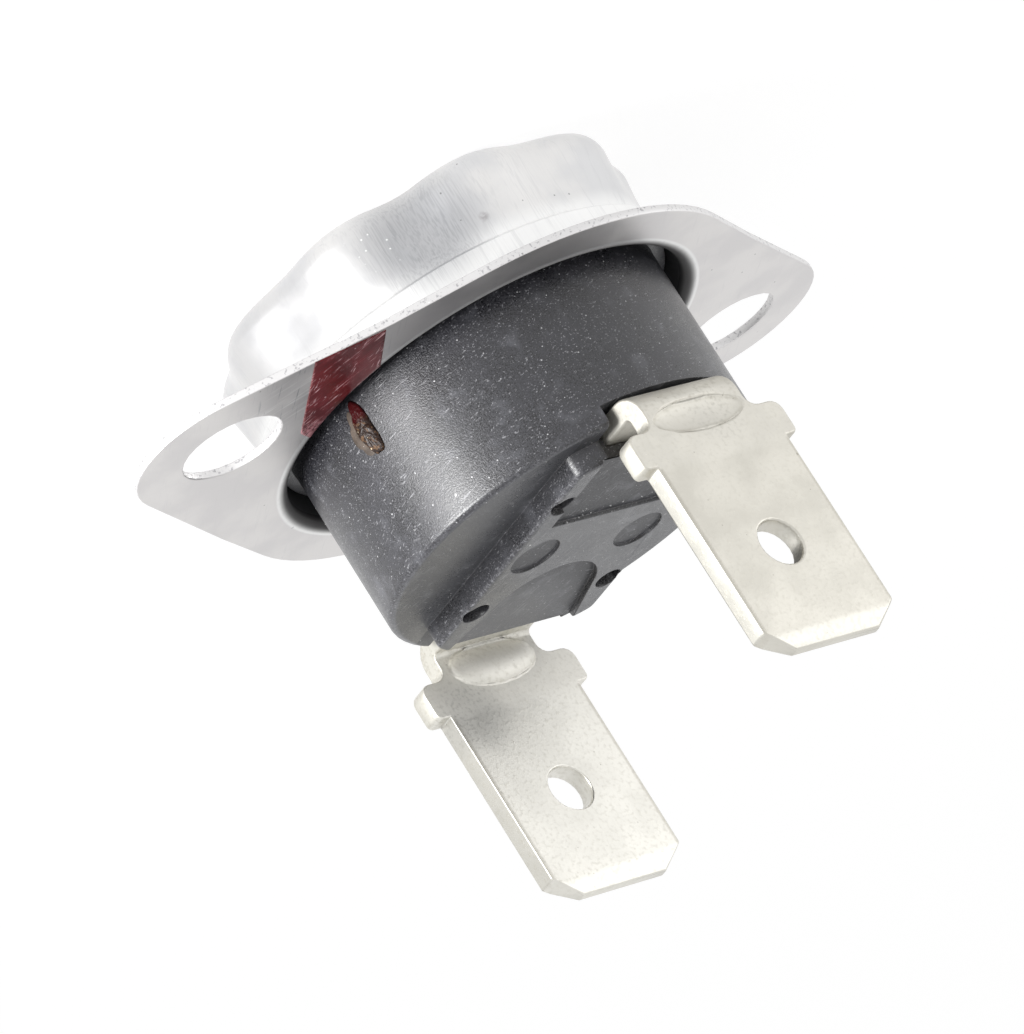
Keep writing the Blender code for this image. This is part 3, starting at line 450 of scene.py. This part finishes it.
def sheet_metal(name, dark, light, rough_value, grain_size):
    """A small inner metal piece: cloudy between two tones, with rolled or turned lines and fine specks."""
    material, tree, shader, place = new_material(name)
    shader.inputs["Metallic"].default_value = 1.0
    soft = cloud(tree, place, grain_size * 6, 0.35, 0.65, 5.0)
    lines = streaks(tree, place, (0, 0, 0), grain_size, grain_size * 14, 0.4, 0.7)
    dots = specks(tree, place, 0.4, 0.03, 0.25)
    colour = layered(tree, dark, (light, soft), (light, lines, 0.25), (dark, dots, 0.5))
    finish(tree, shader, colour, summed(tree, rough_value, (soft, 0.08)), lines, 1.0)
    return material


def fired_ceramic():
    """Steatite, fired unglazed: warm white and matt, with tiny pores."""
    material, tree, shader, place = new_material("steatite, fired")
    soft = cloud(tree, place, 0.9, 0.35, 0.65, 5.0)
    pores = specks(tree, place, 0.22, 0.03, 0.4)
    colour = layered(tree, "#e4ddcd", ("#f0ebdf", soft), ("#b3a991", pores, 0.5))
    finish(tree, shader, colour, summed(tree, 0.55, (soft, 0.08)), summed(tree, 0, (pores, -1.0)), 6.0)
    return material


def brown_phenolic():
    """Brown phenolic with wood flour, moulded: dark brown, semi-matt, with short paler fibres."""
    material, tree, shader, place = new_material("phenolic with wood flour, moulded")
    soft = cloud(tree, place, 1.1, 0.35, 0.65, 5.0)
    fibres = streaks(tree, place, (29, 17, 46), 0.06, 0.5, 0.6, 0.72)
    colour = layered(tree, "#2e211a", ("#453227", soft), ("#6b5342", fibres, 0.5))
    height = summed(tree, 0, (soft, 0.5), (fibres, 1.0))
    finish(tree, shader, colour, summed(tree, 0.44, (soft, 0.1)), height, 3.0)
    return material


def red_enamel():
    """Marking enamel, brushed on: deep red gloss, rubbed pinkish white in scratches and at its low end."""
    material, tree, shader, place = new_material("red marking enamel, brushed on")
    soft = cloud(tree, place, 1.2)
    brushed = streaks(tree, place, (0, 0, 30), 0.1, 2.4, 0.56, 0.72)
    scratches = streaks(tree, place, (0, 0, 21), 0.07, 1.1, 0.58, 0.67)
    crossing = streaks(tree, place, (0, 0, -9), 0.06, 0.8, 0.6, 0.68)
    broken = cloud(tree, place, 0.6, 0.48, 0.62, 5.0)
    low_end = patch(tree, place, (8.5, 0.1, 5.3), 1.3)
    crumbled = cloud(tree, place, 0.14, 0.4, 0.62)
    dots = specks(tree, place, 0.5, 0.05, 0.4)
    colour = layered(
        tree,
        "#4a0c11",
        ("#63131a", soft),
        ("#93303a", brushed, 0.25),
        ("#dab4b8", scratches, broken, 0.8),
        ("#dab4b8", crossing, cloud(tree, place, 0.8, 0.5, 0.6), 0.8),
        ("#c98f96", low_end, crumbled, 0.6),
        ("#dcb4b8", dots, 0.7),
    )
    shader.inputs["Specular IOR Level"].default_value = 0.3
    rough = summed(tree, 0.3, (scratches, broken, 0.2), (low_end, crumbled, 0.25))
    finish(tree, shader, colour, rough, summed(tree, 0, (brushed, 0.7), (scratches, broken, -1.0)), 1.5)
    return material


def sealing_lacquer():
    """Shellac, dried in a run: red where it left the stripe, brown lower down, with golden crumbs."""
    material, tree, shader, place = new_material("shellac, dried run")
    low = beyond(tree, place, (0, 0, 1), DROP_LEVEL - 0.5 * MM, DROP_LEVEL - 0.1 * MM)
    gold = cloud(tree, place, 0.13, 0.52, 0.62)
    glints = specks(tree, place, 0.2, 0.03, 0.5)
    colour = layered(tree, "#3d0a0d", ("#241711", low), ("#6b5038", low, gold, 0.7), ("#e8d8b8", low, glints))
    shader.inputs["Specular IOR Level"].default_value = 0.35
    finish(tree, shader, colour, summed(tree, 0.36, (gold, low, 0.2)), cloud(tree, place, 0.16), 14.0)
    return material


def lacquer_film():
    """The same shellac where it dried thin: tan over the black case."""
    material, tree, shader, place = new_material("shellac, thin dried film")
    soft = cloud(tree, place, 0.4, 0.35, 0.65, 5.0)
    colour = layered(tree, "#433a33", ("#5a4f46", soft))
    height = cloud(tree, place, 0.12, 0.3, 0.7, 3.0)
    finish(tree, shader, colour, summed(tree, 0.38, (soft, 0.1)), height, 3.0)
    return material


def filler_grain():
    """Quartz filler broken out at the moulded skin: small glassy white grains."""
    material, tree, shader, place = new_material("quartz filler grain")
    soft = cloud(tree, place, 0.05, 0.35, 0.65, 3.0)
    colour = layered(tree, "#9a9a9e", ("#ececec", soft))
    finish(tree, shader, colour, summed(tree, 0.25, (soft, 0.15)), soft, 2.0)
    return material


def sheared_burr():
    """Aluminium torn at the die's edge: bright ragged crumbs."""
    material, tree, shader, place = new_material("aluminium burr, sheared")
    shader.inputs["Metallic"].default_value = 1.0
    soft = cloud(tree, place, 0.06, 0.35, 0.65, 3.0)
    colour = layered(tree, "#cfcfce", ("#f4f4f2", soft))
    finish(tree, shader, colour, summed(tree, 0.25, (soft, 0.15)), soft, 2.0)
    return material


# Pieces


def linked_object(name, mesh):
    piece = bpy.data.objects.new(name, mesh)
    bpy.context.scene.collection.objects.link(piece)
    return piece


def as_mesh(shape, name):
    mesh = bpy.data.meshes.new(name)
    shape.to_mesh(mesh)
    shape.free()
    mesh.shade_smooth()
    return mesh


def settled(piece):
    """Replaces a piece's mesh by the one its modifiers make."""
    depsgraph = bpy.context.evaluated_depsgraph_get()
    piece.data = bpy.data.meshes.new_from_object(piece.evaluated_get(depsgraph))
    piece.modifiers.clear()
    return piece


def on_housing(piece):
    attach(piece, "housing")
    return piece


def refined(node, name, edge, smoothest, material, slot):
    """A copy of a node with its worked edges rounded, which stands for the node."""
    shape = bmesh.new()
    shape.from_mesh(NODES[node].data)
    bmesh.ops.remove_doubles(shape, verts=shape.verts, dist=WELD)
    bmesh.ops.dissolve_limit(shape, angle_limit=FLATTEST_EDGE, verts=shape.verts, edges=shape.edges)
    piece = linked_object(name, as_mesh(shape, name))
    piece.data.materials.clear()
    piece.data.materials.append(material)
    bevel = piece.modifiers.new("Worked edge", "BEVEL")
    bevel.width = edge
    bevel.segments = 2
    bevel.limit_method = "ANGLE"
    bevel.angle_limit = smoothest
    bevel.use_clamp_overlap = False
    bevel.loop_slide = False
    even = piece.modifiers.new("Even shading", "WEIGHTED_NORMAL")
    even.weight = 100
    settled(piece)
    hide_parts(node)
    return on_housing(piece)


def flange_height(x, y):
    """The flange's upper surface over a place: flat, drooping at the ears, rolled down at the cup's mouth."""
    radius = math.hypot(x, y)
    crown = MOUTH_RADIUS + MOUTH_ROUND
    if radius < crown:
        past = min(crown - radius, MOUTH_ROUND)
        return FLANGE_TOP - MOUTH_ROUND + math.sqrt(MOUTH_ROUND**2 - past**2)
    return FLANGE_TOP - max(0, abs(x) - EAR_BEND) * math.tan(EAR_DROOP)


def lay_paint_stripe(material):
    """The stripe's outline is cut into small squares, laid on the flange and given the film's thickness."""
    shape = bmesh.new()
    shape.faces.new([shape.verts.new((x * MM, y * MM, 0)) for x, y in STRIPE_CORNERS])
    for axis in (0, 1):
        places = [corner[axis] * MM for corner in STRIPE_CORNERS]
        for step in range(1, int((max(places) - min(places)) / PAINT_STEP) + 1):
            point, normal = Vector(), Vector()
            point[axis] = min(places) + step * PAINT_STEP
            normal[axis] = 1
            geometry = [*shape.verts, *shape.edges, *shape.faces]
            bmesh.ops.bisect_plane(shape, geom=geometry, dist=WELD, plane_co=point, plane_no=normal)
    for vertex in shape.verts:
        radius = math.hypot(vertex.co.x, vertex.co.y)
        if radius < MOUTH_RADIUS:
            vertex.co *= MOUTH_RADIUS / radius
        vertex.co.z = flange_height(vertex.co.x, vertex.co.y)
    bmesh.ops.recalc_face_normals(shape, faces=shape.faces)
    if sum(face.normal.z for face in shape.faces) < 0:
        bmesh.ops.reverse_faces(shape, faces=shape.faces)
    stripe = linked_object("paint_stripe", as_mesh(shape, "paint_stripe"))
    stripe.data.materials.append(material)
    film = stripe.modifiers.new("Film", "SOLIDIFY")
    film.thickness = PAINT_FILM
    film.offset = 1
    return on_housing(settled(stripe))


def run_on_wall(name, angle, level, half_length, half_width, thickness, material):
    """Lacquer dried on the case's wall: a long oval swelling with an uneven outline, closed behind."""
    rings, spokes, sunk, wobble = 12, 40, 0.01 * MM, 0.09

    def wall_point(ring, spoke):
        turn = 2 * math.pi * spoke / spokes
        share = ring / rings
        uneven = 1 + wobble * (math.sin(3 * turn + 1) + 0.6 * math.sin(5 * turn + 2.2)) * share
        here = angle + half_width * share * math.cos(turn) * uneven / CASE_RADIUS
        swell = thickness * (1 - share**2) ** 0.6 * (1 + 0.25 * math.sin(9 * turn) * share)
        reach = CASE_RADIUS - sunk + swell
        height = level + half_length * share * math.sin(turn) * uneven
        return (reach * math.cos(here), reach * math.sin(here), height)

    shape = bmesh.new()
    middle = shape.verts.new(wall_point(0, 0))
    loops = []
    for ring in range(1, rings + 1):
        loops.append([shape.verts.new(wall_point(ring, spoke)) for spoke in range(spokes)])
    for spoke in range(spokes):
        after = (spoke + 1) % spokes
        shape.faces.new((middle, loops[0][spoke], loops[0][after]))
        for inner, outer in zip(loops, loops[1:]):
            shape.faces.new((inner[spoke], outer[spoke], outer[after], inner[after]))
    shape.faces.new(list(reversed(loops[-1])))
    bmesh.ops.recalc_face_normals(shape, faces=shape.faces)
    piece = linked_object(name, as_mesh(shape, name))
    piece.data.materials.append(material)
    return on_housing(piece)


def grain_tree():
    """Geometry Nodes that scatter small grains over a surface, each turned and sized by chance."""
    tree = bpy.data.node_groups.new("scattered grains", "GeometryNodeTree")
    tree.interface.new_socket("Grains", in_out="OUTPUT", socket_type="NodeSocketGeometry")
    for name, kind in (
        ("Surface", "NodeSocketGeometry"),
        ("Grains per Square Metre", "NodeSocketFloat"),
        ("Smallest", "NodeSocketFloat"),
        ("Largest", "NodeSocketFloat"),
        ("Seed", "NodeSocketInt"),
        ("Material", "NodeSocketMaterial"),
    ):
        tree.interface.new_socket(name, in_out="INPUT", socket_type=kind)
    given = add(tree, "NodeGroupInput").outputs
    spread = {"Mesh": given["Surface"], "Density": given["Grains per Square Metre"], "Seed": given["Seed"]}
    points = add(tree, "GeometryNodeDistributePointsOnFaces", spread)
    grain = add(tree, "GeometryNodeMeshIcoSphere", {"Radius": 1.0, "Subdivisions": 1})
    flat = add(tree, "GeometryNodeTransform", {"Geometry": grain, "Scale": (1.0, 0.75, 0.55)})
    sizes = {"Min": given["Smallest"], "Max": given["Largest"], "Seed": 3}
    size = add(tree, "FunctionNodeRandomValue", sizes)
    full_turn = (2 * math.pi,) * 3
    turn = add(tree, "FunctionNodeRandomValue", {"Max": full_turn, "Seed": 5}, data_type="FLOAT_VECTOR")
    placed = {"Points": points, "Instance": flat, "Rotation": turn, "Scale": size}
    copies = add(tree, "GeometryNodeInstanceOnPoints", placed)
    real = add(tree, "GeometryNodeRealizeInstances", {"Geometry": copies})
    made = add(tree, "GeometryNodeSetMaterial", {"Geometry": real, "Material": given["Material"]})
    add(tree, "NodeGroupOutput", {"Grains": made})
    return tree


def scatter(name, source, wanted, tree, slot, **values):
    """Grains in those faces of a piece that are wanted, sunk by half the largest grain, as one plain mesh."""
    shape = bmesh.new()
    shape.from_mesh(source.data)
    bmesh.ops.delete(shape, geom=[face for face in shape.faces if not wanted(face)], context="FACES")
    for vertex in shape.verts:
        vertex.co -= vertex.normal * values["largest"] / 2
    piece = linked_object(name, as_mesh(shape, name))
    modifier = piece.modifiers.new("Grains", "NODES")
    modifier.node_group = tree
    for socket in tree.interface.items_tree:
        key = socket.name.lower().replace(" ", "_")
        if key in values:
            modifier[socket.identifier] = values[key]
    return on_housing(settled(piece))


def on_case_skin(face):
    """Faces of the case that can be seen: its wall over the flange and its end."""
    centre = face.calc_center_median()
    outer = math.hypot(centre.x, centre.y) > CASE_RADIUS - 0.4 * MM and centre.z > FLANGE_TOP
    return outer or (face.normal.z > 0.5 and centre.z > RIM_TOP - 0.1 * MM)


def on_sheared_edge(face):
    """Faces of the flange's outer edge, but not at the tips of its ears, where a burr would reach too far."""
    centre = face.calc_center_median()
    edge = abs(face.normal.z) < 0.5 and math.hypot(centre.x, centre.y) > CUP_EDGE + 0.3 * MM
    return edge and abs(centre.x) < CAD_BOX[1][0] - 0.15 * MM


def dress_frame():
    """Gives every node its finish and adds the pieces that are too thin or too small for solids."""
    cap_edges, case_edges = (CAP_EDGE, SMOOTHEST_EDGE), (CASE_EDGE, SMOOTHEST_EDGE)
    cap = refined("mounting_cap", "cap_finished", *cap_edges, drawn_aluminium(), "cap_aluminium")
    case = refined("switch_case", "case_finished", *case_edges, moulded_phenolic(), "case_phenolic")
    fixed_tones, arm_tones = ("#c8c5bc", "#d3d0c7"), ("#dad8d1", "#e4e2db")
    fixed = plated_brass("brass strip, tin plated, fixed side", *fixed_tones, (-0.6, -8.0, 12.4), 1.4, 0.15)
    arm = plated_brass("brass strip, tin plated, arm side", *arm_tones, (2.1, 7.2, 14.0), 1.9, 0.6)
    fixed_edges = (FIXED_TERMINAL_EDGE, SMOOTHEST_STRIP_EDGE)
    refined("fixed_terminal", "fixed_terminal_finished", *fixed_edges, fixed, "terminal_plate")
    arm_edges = (ARM_TERMINAL_EDGE, SMOOTHEST_STRIP_EDGE)
    refined("arm_terminal", "arm_terminal_finished", *arm_edges, arm, "terminal_plate")
    inner = {
        "guide_plate": brown_phenolic(),
        "transfer_pin": fired_ceramic(),
        "bimetal_disc": sheet_metal("bimetal strip, rolled", "#84817d", "#b3b0aa", 0.36, 0.06),
        "contact_arm": sheet_metal("phosphor bronze strip, rolled", "#a8723f", "#cf9a62", 0.3, 0.05),
        "moving_contact": sheet_metal("silver contact, headed", "#cfcdc7", "#efeeea", 0.24, 0.05),
        "fixed_contact": sheet_metal("silver contact, headed and crimped", "#cbc9c3", "#ecebe6", 0.26, 0.05),
        "arm_rivet": sheet_metal("brass rivet, turned", "#a9823c", "#d6b468", 0.3, 0.04),
    }
    for name, material in inner.items():
        for slot in NODES[name].material_slots:
            slot.material = material
    lay_paint_stripe(red_enamel())
    film_size = (FILM_ANGLE, FILM_LEVEL, FILM_HALF_LENGTH, FILM_HALF_WIDTH, FILM_HEIGHT)
    run_on_wall("lacquer_film", *film_size, lacquer_film())
    drop_size = (DROP_ANGLE, DROP_LEVEL, DROP_HALF_LENGTH, DROP_HALF_WIDTH, DROP_HEIGHT)
    run_on_wall("lacquer_drop", *drop_size, sealing_lacquer())
    tree = grain_tree()
    quartz = {"smallest": 0.01 * MM, "largest": 0.05 * MM, "grains_per_square_metre": 2.4e6, "seed": 4}
    scatter("filler_grains", case, on_case_skin, tree, "case_phenolic", material=filler_grain(), **quartz)
    burrs = {"smallest": 0.012 * MM, "largest": 0.035 * MM, "grains_per_square_metre": 2e6, "seed": 7}
    scatter("edge_burrs", cap, on_sheared_edge, tree, "cap_aluminium", material=sheared_burr(), **burrs)


# Studio


def place_camera():
    """The camera looks at its aim point from its azimuth and elevation, rolled about its line of sight."""
    level = Vector((math.cos(CAMERA_AZIMUTH), math.sin(CAMERA_AZIMUTH), 0))
    outward = Vector((math.sin(CAMERA_AZIMUTH), -math.cos(CAMERA_AZIMUTH), 0))
    back = outward * math.cos(CAMERA_ELEVATION) + Vector((0, 0, math.sin(CAMERA_ELEVATION)))
    roll = Matrix.Rotation(CAMERA_ROLL, 3, back)
    right = roll @ level
    up = back.cross(right)
    camera = linked_object("camera", bpy.data.cameras.new("camera"))
    turn = Matrix((right, up, back)).transposed()
    camera.matrix_world = Matrix.Translation(CAMERA_AIM + back * CAMERA_DISTANCE) @ turn.to_4x4()
    camera.data.lens = CAMERA_LENS
    camera.data.sensor_fit = "VERTICAL"
    camera.data.sensor_height = SENSOR
    camera.data.clip_start = 0.01
    camera.data.clip_end = 10
    bpy.context.scene.camera = camera


def seen_directly(tree):
    """1 for rays that look at the studio straight, by reflection or through glass, 0 for its light."""
    path = add(tree, "ShaderNodeLightPath").outputs
    looked_at = {0: path["Is Camera Ray"], 1: path["Is Glossy Ray"]}
    seen = add(tree, "ShaderNodeMath", looked_at, operation="MAXIMUM")
    return add(tree, "ShaderNodeMath", {0: seen, 1: path["Is Transmission Ray"]}, operation="MAXIMUM")


def lay_floor():
    """A pale floor that is white to the eye and in reflections, and takes the fuse's soft shadow."""
    shape = bmesh.new()
    below = Matrix.Translation((0, 0, -FLOOR_GAP))
    bmesh.ops.create_grid(shape, x_segments=1, y_segments=1, size=FLOOR_HALF, matrix=below)
    floor = linked_object("floor", as_mesh(shape, "floor"))
    material = bpy.data.materials.new("white studio paper")
    material.use_nodes = True
    tree = material.node_tree
    tree.nodes.clear()
    paper = add(tree, "ShaderNodeBsdfDiffuse", {"Color": PAPER})
    shaded = add(tree, "ShaderNodeBsdfDiffuse", {"Color": PAPER_SHADED})
    glow = add(tree, "ShaderNodeEmission", {"Color": WHITE, "Strength": PAPER_GLOW})
    lit = add(tree, "ShaderNodeAddShader", {0: shaded, 1: glow})
    mixed = add(tree, "ShaderNodeMixShader", {0: seen_directly(tree), 1: paper, 2: lit})
    add(tree, "ShaderNodeOutputMaterial", {"Surface": mixed})
    material.cycles.emission_sampling = "NONE"
    floor.data.materials.append(material)


def stand_lamp(name, azimuth, distance, width, height, radiance):
    """An upright soft lamp on the floor that faces the fuse; a radiance of 1 is as bright as white paper."""
    lamp = linked_object(name, bpy.data.lights.new(name, "AREA"))
    lamp.visible_camera = False
    lamp.data.shape = "RECTANGLE"
    lamp.data.size = width * MM
    lamp.data.size_y = height * MM
    lamp.data.energy = radiance * math.pi * (width * MM) * (height * MM)
    towards = Vector((math.cos(math.radians(azimuth)), math.sin(math.radians(azimuth)), 0))
    lamp.location = towards * distance * MM + Vector((0, 0, height * MM / 2 + LAMP_FOOT))
    lamp.rotation_euler = (-towards).to_track_quat("-Z", "Y").to_euler()


def light_studio():
    """An even white room, a low key lamp close beside an ear, and a weaker lamp behind the fixed terminal."""
    world = bpy.data.worlds.new("studio")
    bpy.context.scene.world = world
    world.use_nodes = True
    tree = world.node_tree
    tree.nodes.clear()
    seen = add(tree, "ShaderNodeBackground", {"Color": WHITE, "Strength": 1.0})
    light = add(tree, "ShaderNodeBackground", {"Color": WHITE, "Strength": ROOM_LIGHT})
    mixed = add(tree, "ShaderNodeMixShader", {0: seen_directly(tree), 1: light, 2: seen})
    add(tree, "ShaderNodeOutputWorld", {"Surface": mixed})
    stand_lamp(*KEY_LAMP)
    stand_lamp(*SIDE_LAMP)
    bpy.context.scene.view_settings.view_transform = "Standard"


place_camera()
lay_floor()
light_studio()
dress_frame()
